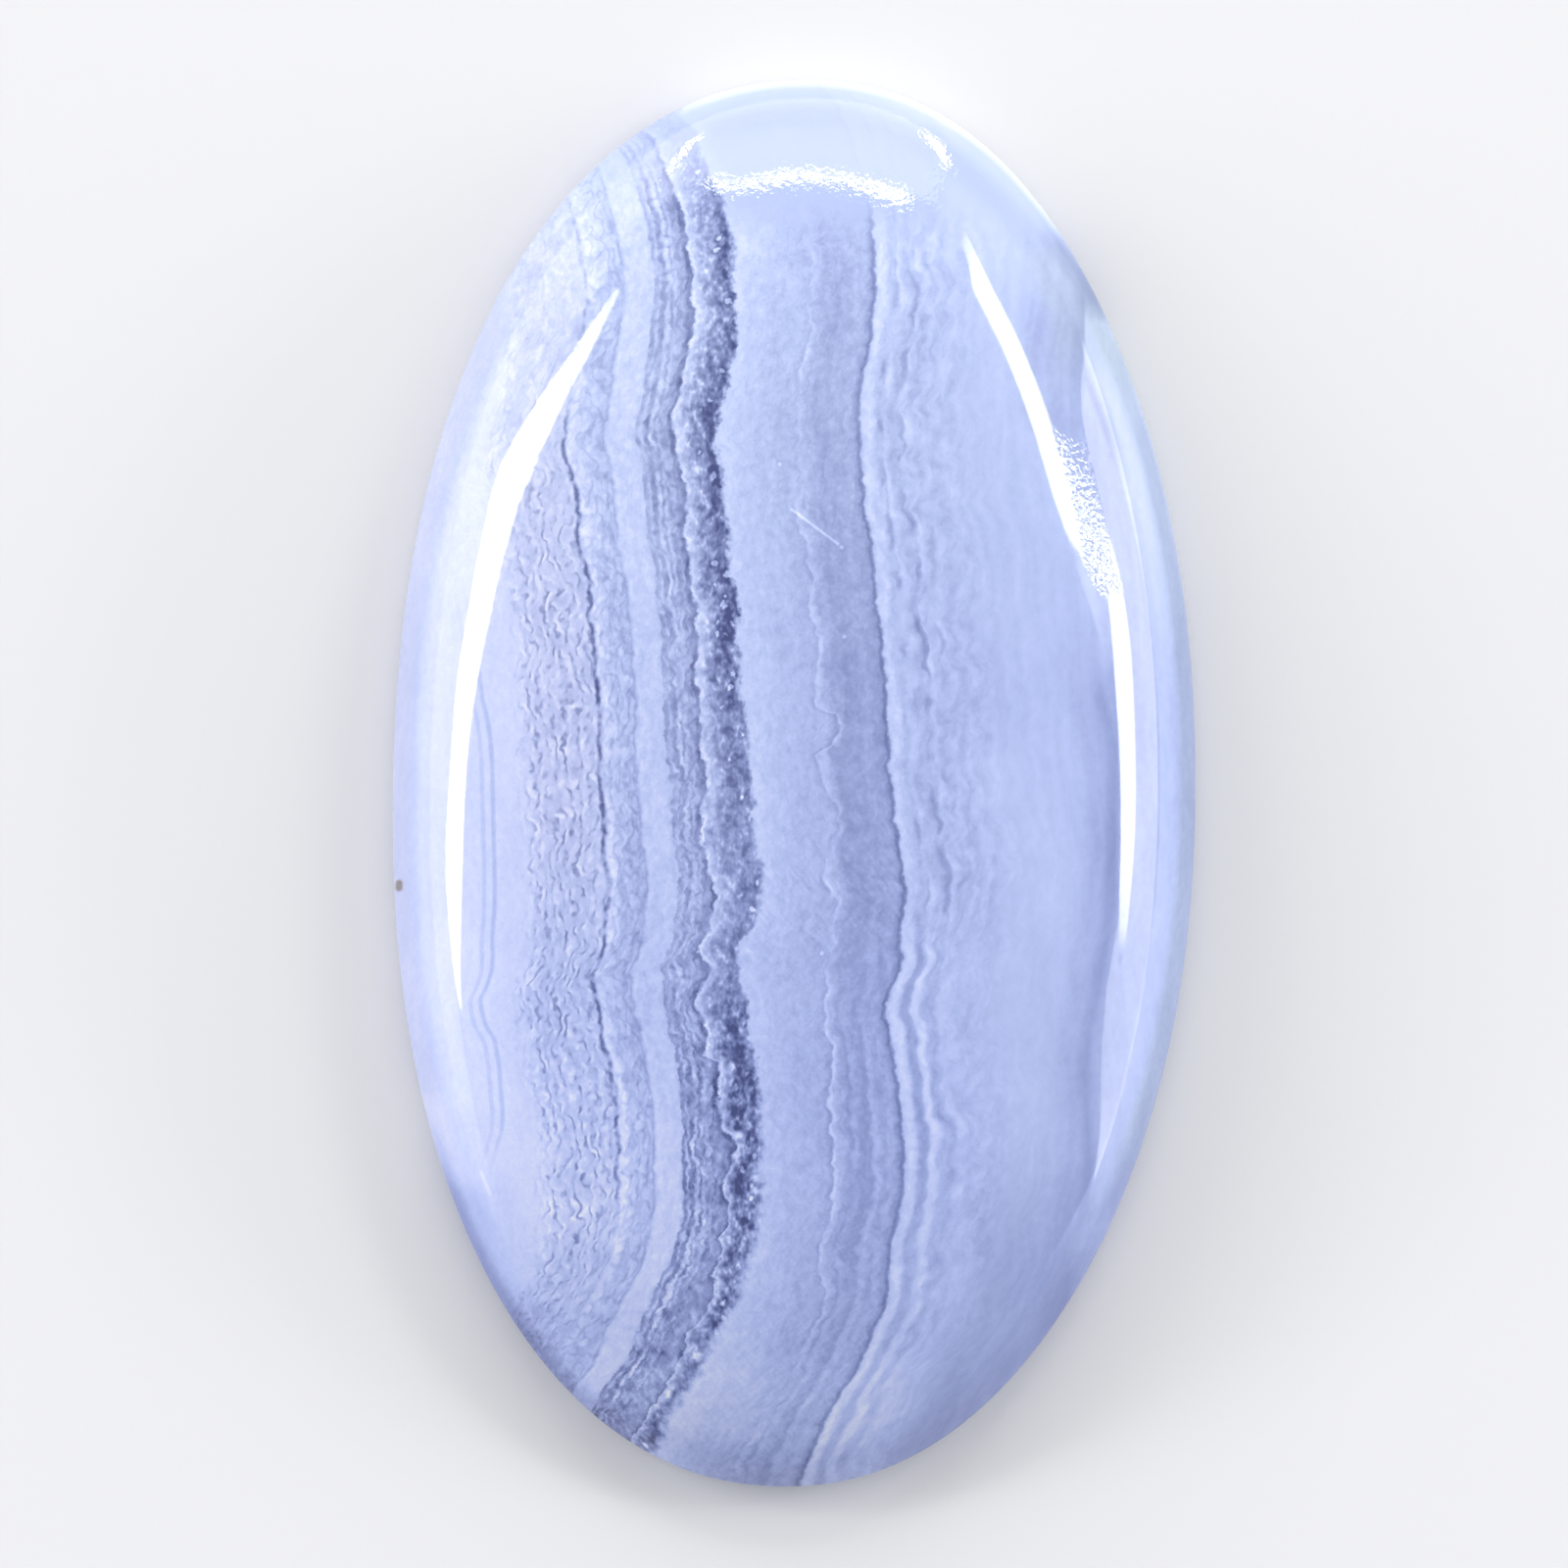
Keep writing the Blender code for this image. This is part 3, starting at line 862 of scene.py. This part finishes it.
# %% The marks on this stone
SPECKS = ((1.42, 7.86), (-0.69, 10.6), (1.56, 4.89), (1.0, -5.62))
pale_marks = scratch((-0.26, 9.09), (1.29, 7.98), 0.07)
pale_marks = pale_marks + scratch((-10.35, -13.35), (-10.05, -14.05), 0.1) * 0.4
for centre in SPECKS:
    pale_marks = pale_marks + spot(centre, 0.1)
brown_mark = scratch((-13.40, -3.78), (-13.39, -3.66), 0.24)
brown_mark = brown_mark * brown_mark
print(f"two scratches, {len(SPECKS)} pale specks and a brown stain")

# %% [markdown]
# ## Both sides of the seam
# Each side is the sum of its bands and lines. Slow changes along the stone come on top, because the
# bands are paler in some parts and darker in others: each is a ramp or a curve for where it lies,
# times the change in tone. A dark band widens the seam to the left low down, mottled by the same
# lumps and crystals. Beside it two thin lines appear that aren't there higher up.

# %% The left side
left_tone = tone_left + left_line + lines_left + edge_line + seam_tone
left_tone = left_tone + left_edge_lines * left_edge_share
low_pale = ramp_up(y, -9, -15) * 0.045
low_corner = ramp_up(y, -14, -18) * ramp_up(across, -3, -5) * 0.075
left_tone = left_tone + low_pale - low_corner
lower_dark = ramp_up(across, -2.8, -2.4) * follow(along, [
    (-5.5, 0), (-8, 0.4), (-10, 0.7), (-12, 0.85), (-16, 1), (-21, 1.1)])
left_tone = left_tone - lower_dark * (0.05 - lump * 0.1 - crystal * 0.12)
left_tone = left_tone + ramp_up(across, -7.2, -8.8) * follow(y, [
    (-4, 0), (-7.5, 0.03), (-10, 0.03), (-11.5, 0), (-13.5, -0.03), (-14.6, -0.055), (-16, -0.04),
    (-18, 0)])
low_left_lines = follow(layer + lump * 0.05, [
    (-4.78, 0), (-4.68, 0.035), (-4.52, 0.035), (-4.4, 0), (-2.05, 0), (-1.9, -0.05), (-1.8, 0.06),
    (-1.68, 0.06), (-1.55, 0)], straight=True)
left_tone = left_tone + low_left_lines * follow(along, [(-7, 0), (-9, 1), (-15, 1), (-17, 0.5)])
middle_dark = follow(along, [(9, 0), (6, 0.012), (-6, 0.012), (-9, 0)])
left_tone = left_tone - middle_dark * ramp_up(across, -2.2, -2.6)
left_tone = left_tone - ramp_up(along, -16.5, -19) * follow(across, [
    (-5, 0), (-4, 0.035), (-2, 0.035), (-1.4, 0)])

# %% The right side
right_tone = tone_right + right_line + fine_line * fine_bold + low_lines + folds
right_tone = right_tone + torn * torn_share + tone_far
middle_change = follow(along, [
    (15, 0.015), (8, 0), (2, -0.024), (-4, -0.022), (-8, 0), (-14, 0.015)])
middle_change = middle_change * follow(layer, [(2.6, 0), (3.0, 1), (4.5, 1), (4.8, 0.4), (8, 0.4)])
right_tone = right_tone + painted_side_shade + middle_change + ridges_low * ramp_up(across, 4.5, 5.2) * 0.022
right_tone = right_tone + ramp_up(y, 15.5, 18.5) * (ramp_up(across, 5, 7) * 0.015 + 0.015)
side_lift = follow(across, [(6.8, 0), (8, 1), (12.2, 1), (12.8, 0)])
right_tone = right_tone + side_lift * ramp_up(y, 3, 0) * ramp_up(y, -6, -3) * 0.03
right_tone = right_tone + ramp_up(along, -11, -15) * ramp_up(across, 2.6, 1.6) * 0.02

# %% The two sides joined
sharp_tone = right_tone + in_left * (left_tone - right_tone) + lace + texture + strained
print(f"both sides: {len(tree.nodes)} nodes")

# %% [markdown]
# ## Fading towards the ends
# Towards the upper end and the thin edge the pattern fades into pale stone: painted light, for the
# light that comes through from the side. The lower end is only a little paler, and its right part
# and its rim are painted darker, as painted shade, because they are turned away from the lights.

# %% The top, the foot and the thin edge
PALE_END = 0.735
THIN_EDGE = 0.82
far_right = ramp_up(across, 6.5, 9.0)
# Painted shade: the lower end's right part is darker, while the rest of the lower end is a little
# paler.
foot = ramp_up(y, -18.3, -20.5) * 0.055 * (1.0 - far_right)
foot = foot - ramp_up(y, -11.0, -16.5) * far_right * 0.1
# Painted shade on the rim of the lower end.
painted_foot_rim_shade = ramp_up(z, 3.0, 1.8) * ramp_up(y, -14, -18) * 0.08
painted_foot_rim_shade = painted_foot_rim_shade + ramp_up(z, 2.3, 1.5) * ramp_up(y, -11, -14) * ramp_up(across, 0, -4) * 0.16
# Painted light: the upper end fades to a pale tone.
top_right = ramp_up(y, 17.8, 20.0) * ramp_up(across, -0.5, 0.7) * 0.95
top_left = ramp_up(y, 18.5, 22.5) * ramp_up(across, 0.7, -0.5) * 0.7
top_fade = top_right + top_left
pale_end = PALE_END + ramp_up(x, 4.2, 5.0) * 0.05
# Painted light: the thin edge on the right turns pale.
painted_edge_light = ramp_up(z, 3.0, 2.2) * ramp_up(y, 4, 11) * ramp_up(across, 4.0, 7.0) * 0.3

# %% [markdown]
# ## The rim
# The real rim glows, because light comes through the thin edge, and the polish hides some of that
# behind the panels' reflections. Here that glow is painted light: a change of tone that follows the
# height above the back, and a curve for each part of the rim says how it goes from the girdle
# inwards. Where the rim is darker, the tone is painted shade. On the right the painted pale rim is
# wider than the mirrored panel. It ends in a wedge high up, which carries the panel's reflection on
# as a painted reflection, with painted shade on its left side and a grey zone of painted shade above
# it along the upper right rim.

# %% The right rim
rim_reach = follow(y, [
    (-16.5, 0), (-14, 1), (12, 1), (13.4, 0.8), (14.4, 0.55), (15.6, 0.42),
    (16.4, 0)], straight=True)
# Painted reflection: the panel's wedge high up on the right rim, carried on in paint.
wedge_side = ramp_up(x + ramp_up(y, 13.6, 12.6) * 2.0, 9.5, 9.6)
rim_right = ramp_up(across, 7.0, 9.5) * rim_reach * wedge_side
# Painted light on the right rim, for light through the thin edge, with painted shade in its dark
# parts.
painted_rim_light_and_shade = follow(z + ramp_up(y, -7, -13) * 0.2, [
    (1.3, -0.03), (1.9, -0.03), (2.2, -0.02), (2.5, 0.035), (2.75, 0.065), (3.15, 0.085),
    (3.24, 0)], straight=True)
painted_rim_light_and_shade = painted_rim_light_and_shade + ramp_up(y, 3, 9) * follow(z, [
    (1.3, 0.05), (1.6, 0), (2.1, 0.01), (2.3, 0.045), (2.5, 0.06), (2.85, 0.065), (3.05, 0.035),
    (3.15, 0.005), (3.24, 0)], straight=True)
painted_rim_light_and_shade = painted_rim_light_and_shade + ramp_up(y, 9.6, 13) * follow(z, [
    (2.7, 0), (2.85, -0.03), (3.0, -0.1), (3.08, -0.15), (3.16, -0.18), (3.25, -0.08),
    (3.32, -0.03), (3.4, 0)], straight=True)
painted_rim_light_and_shade = painted_rim_light_and_shade * rim_right
# Painted shade on the left side of the wedge.
wedge_high = ramp_up(y, 12.5, 14) * ramp_up(y, 17.2, 16.2)
painted_rim_light_and_shade = painted_rim_light_and_shade + wedge_high * follow(x, [
    (8.6, 0), (9.0, -0.01), (9.35, -0.05), (9.5, -0.08), (9.6, 0)], straight=True)

# %% The upper right rim, the top rim and the left rim
# Painted shade: a grey zone along the upper right rim.
painted_high_rim_shade = follow(z, [
    (1.3, -0.16), (1.5, -0.2), (1.72, -0.18), (1.9, -0.14), (2.06, -0.12), (2.27, -0.08),
    (2.45, -0.05), (2.8, -0.03), (3.1, 0)]) * ramp_up(x, 2.5, 4.5)
painted_rim_light_and_shade = painted_rim_light_and_shade + painted_high_rim_shade * follow(y, [
    (15.8, 0), (16.3, 0.6), (16.9, 0.95), (18, 1), (19.3, 0.5), (20.6, 0.35), (21.8, 0.3),
    (22.6, 0)])
# Painted light on the top rim, next to the girdle.
rim_top = ramp_up(y, 17, 20) * ramp_up(across, -1, 1)
painted_rim_light_and_shade = painted_rim_light_and_shade + rim_top * follow(z, [
    (1.3, 0.17), (1.5, 0.13), (1.7, 0.045), (2.05, 0.02), (2.25, -0.015), (2.4, -0.03),
    (2.7, -0.027), (2.95, -0.008), (3.3, 0.01), (3.8, 0.01)], straight=True)
# Painted shade on the lower left rim.
rim_left = ramp_up(across, -6, -8) * ramp_up(y, -17, -14)
painted_left_rim_shade = follow(y, [(-10.6, 0.07), (-11.8, 0.02), (-13, 0.02), (-14.3, 0.07)])
painted_rim_light_and_shade = painted_rim_light_and_shade - ramp_up(z, 3.0, 2.4) * rim_left * painted_left_rim_shade

# %% The whole tone
PALE_MARK = 0.14
BROWN_MARK = 0.18
tone = sharp_tone + top_fade * (pale_end - sharp_tone) + foot - painted_foot_rim_shade
tone = tone + painted_edge_light * (THIN_EDGE - tone) + painted_rim_light_and_shade
tone = tone + pale_marks * PALE_MARK - brown_mark * BROWN_MARK
print(f"tone: {len(tree.nodes)} nodes")

# %% [markdown]
# ## From tone to colour
# All the stone's colours lie on one line, from slate blue through periwinkle to white, so one ramp
# turns tones into colours. The stops are given as screen colours, because that is how one judges
# them, and are turned into shares of light.

# %% Palette
PALETTE = (
    (0.30, (68, 77, 128)), (0.40, (90, 100, 153)), (0.48, (110, 122, 172)),
    (0.555, (130, 142, 193)), (0.65, (153, 166, 215)), (0.70, (166, 179, 227)),
    (0.745, (177, 191, 237)), (0.785, (187, 200, 245)), (0.855, (208, 218, 253)),
    (0.92, (228, 235, 255)), (1.0, (252, 253, 255)))
TONE_LOW = 0.25
EXPOSURE = 0.82


def linear(channel):
    """One channel of a screen colour from 0 to 255 as a share of light."""
    share = channel / 255
    if share <= 0.04045:
        return share / 12.92
    return ((share + 0.055) / 1.055) ** 2.4


palette = tree.nodes.new("ShaderNodeValToRGB")
elements = palette.color_ramp.elements
while len(elements) < len(PALETTE):
    elements.new(0.5)
for element, (step, colour) in zip(elements, PALETTE):
    element.position = (step - TONE_LOW) / (1 - TONE_LOW)
    element.color = (*(linear(channel) * EXPOSURE for channel in colour), 1)
feed(palette.inputs["Fac"], (tone - TONE_LOW) * (1 / (1 - TONE_LOW)))
print(f"a palette of {len(elements)} stops")

# %% [markdown]
# ## Tints
# Only small tints leave that line. The lace is slightly violet, the lower half bluer and the upper
# half a little warmer. The rim's tints are painted light, for light that has come a long way through
# the stone: grey on the right, violet on the left, and greyest near its upper right end, where the
# grey is painted shade. Each tint multiplies the colour.

# %% Tints
VIOLET = (1.045, 1.0, 0.965, 1)
LOW_BLUE = (0.99, 1.0, 1.065, 1)
HIGH_WARM = (1.0, 1.0, 0.955, 1)
EDGE_GREY = (0.98, 1.0, 0.88, 1)
HIGH_GREY = (0.99, 1.0, 0.9, 1)
EDGE_VIOLET = (1.03, 0.985, 0.92, 1)
BROWN = (0.9, 0.72, 0.4, 1)


def tint(colour, share, by):
    """A colour socket multiplied by a fixed colour, as far as the share goes."""
    node = tree.nodes.new("ShaderNodeMix")
    node.data_type = "RGBA"
    node.blend_type = "MULTIPLY"
    feed(node.inputs["Factor"], share)
    tree.links.new(colour, node.inputs["A"])
    node.inputs["B"].default_value = by
    return node.outputs["Result"]


violet_share = follow(across, [
    (-12, 0.6), (-9, 0.35), (-7.4, 0.6), (-6.5, 1), (-5.2, 0.8), (-4.4, 0.3), (-3.2, 0.1),
    (-2, 0.3), (-1, 0.2), (0, 0)])
lower_left = ramp_up(y, 0, -10)
# Painted light: the rim's grey and violet tints stand in for light that has come through the stone.
edge_share = ramp_up(z, 2.7, 2.1) * ramp_up(y, -15, -11) * ramp_up(y, 18, 14)
# Painted shade: the rim is greyest near its upper right end.
painted_high_grey_shade = ramp_up(y, 12.5, 15.5) * ramp_up(y, 20, 17.5)
painted_high_grey_shade = painted_high_grey_shade * ramp_up(x + ramp_up(y, 15.5, 18), 8.0, 8.8)
stone_colour = tint(palette.outputs["Color"], violet_share * (1.0 - lower_left * 0.7), VIOLET)
stone_colour = tint(stone_colour, ramp_up(y, 4, -14) * (1.0 - far_right * 0.8), LOW_BLUE)
stone_colour = tint(stone_colour, ramp_up(y, 2, 14), HIGH_WARM)
stone_colour = tint(stone_colour, edge_share * on_right, EDGE_GREY)
stone_colour = tint(stone_colour, painted_high_grey_shade, HIGH_GREY)
stone_colour = tint(stone_colour, edge_share * (1.0 - on_right), EDGE_VIOLET)
stone_colour = tint(stone_colour, brown_mark, BROWN)
print(f"colour: {len(tree.nodes)} nodes")

# %% [markdown]
# ## The polish
# Agate takes a polish like glass. Where the stone is porous, in the lace and in the seam, the
# polish is broken by the finest of dimples, so the reflections there get a ragged edge. Two places
# are rougher: a short scuffed zone beside the right streak, which looks frosted, and the upper end,
# whose streak breaks up into beads. One fine noise makes all of these dimples, and its strength
# says how deep they are.

# %% Dimples
DIMPLES = 0.00024
SCUFFED = 22
BEADED = 6.5
wear = follow(x, [
    (-12, 0.1), (-9, 1), (-6.5, 1), (-4, 0.3), (-3, 1.2), (-1.4, 1.2), (-1, 0.2), (3, 0.3),
    (10, 0.1)])
scuff_x = follow(y, [(12, 9.0), (9.6, 9.6), (7.8, 10.05), (6.5, 10.5)])
scuffed = ramp_up(calc("ABSOLUTE", x - scuff_x), 0.6, 0.3)
scuffed = scuffed * ramp_up(y, 6.3, 7.0) * ramp_up(y, 12.4, 11.4)
beaded = ramp_up(y, 18.3, 19.3)
dimpled = wear + scuffed * SCUFFED + beaded * BEADED
relief = noise(place(x / 0.15, y / 0.18, z / 0.18), detail=1.0) * dimpled * DIMPLES
bump = tree.nodes.new("ShaderNodeBump")
bump.inputs["Distance"].default_value = MM
feed(bump.inputs["Height"], relief)

# %% Polished agate
POLISH_ROUGHNESS = 0.05
AGATE_IOR = 1.54
surface = tree.nodes["Principled BSDF"]
tree.links.new(stone_colour, surface.inputs["Base Color"])
tree.links.new(bump.outputs["Normal"], surface.inputs["Normal"])
surface.inputs["Roughness"].default_value = POLISH_ROUGHNESS
surface.inputs["IOR"].default_value = AGATE_IOR
stone.data.materials.clear()
stone.data.materials.append(agate)
print(f"agate: {len(tree.nodes)} nodes")

# %% [markdown]
# ## The stone in the solid's place
# The dressed stone stands for the imported solid, rides on its one body and wears the agate
# finish. Both boxes are printed, so that the sizes can be compared.

# %% The stone rides on its body
for key in list(stone.keys()):
    del stone[key]
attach(stone, "root")
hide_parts("cabochon")

# %% Sizes
visual_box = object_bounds()
boxes = {}
boxes["cad_box"] = [list(corner) for corner in cad_box]
boxes["visual_box"] = [list(corner) for corner in visual_box]
for name, (low_corner, high_corner) in boxes.items():
    print(name, [round((high - low) / MM, 3) for low, high in zip(low_corner, high_corner)], "mm")
